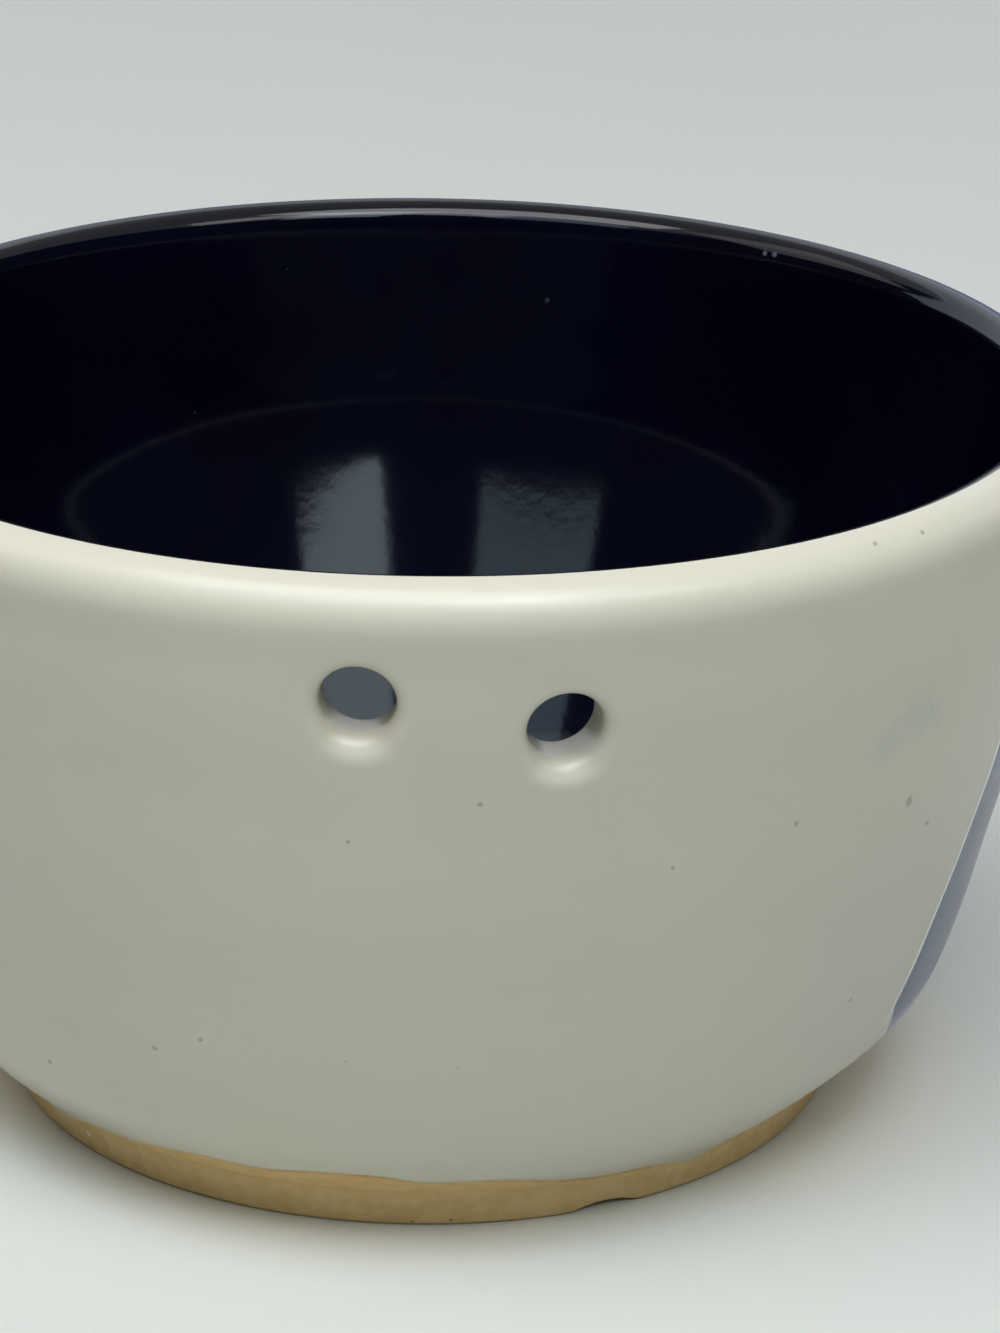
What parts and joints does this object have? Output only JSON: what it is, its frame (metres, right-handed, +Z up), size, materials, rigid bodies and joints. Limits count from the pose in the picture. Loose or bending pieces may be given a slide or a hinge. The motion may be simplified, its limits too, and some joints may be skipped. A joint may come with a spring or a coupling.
{
  "type": "berry colander bowl",
  "caption": "Round stoneware colander bowl on a notched foot ring, with a pierced floor, holes under the lip, a dark glossy liner and a white and blue glazed outside.",
  "frame": {"origin": "centre of the foot ring's base, on the surface that the bowl stands on", "axes": "+Z up along the bowl's axis; -Y towards the bowl's front, where the two side holes are; +X to the right seen from the front"},
  "size_m": [0.15, 0.15, 0.085],
  "materials": {
    "clay": "bare stoneware, matt and slightly gritty",
    "bare_foot": "bare stoneware, turned and wiped smooth",
    "cobalt_liner": "high gloss, deep cobalt",
    "white_satin": "satin white with fine dark specks and pinholes",
    "blue_dip": "mottled slate blue, semi-gloss"
  },
  "bodies": {
    "root": {"bowl_wall": "clay", "bowl_floor": "clay", "foot_ring": "bare_foot", "liner_glaze": "cobalt_liner", "white_glaze": "white_satin", "blue_glaze": "blue_dip"}
  },
  "joints": []
}
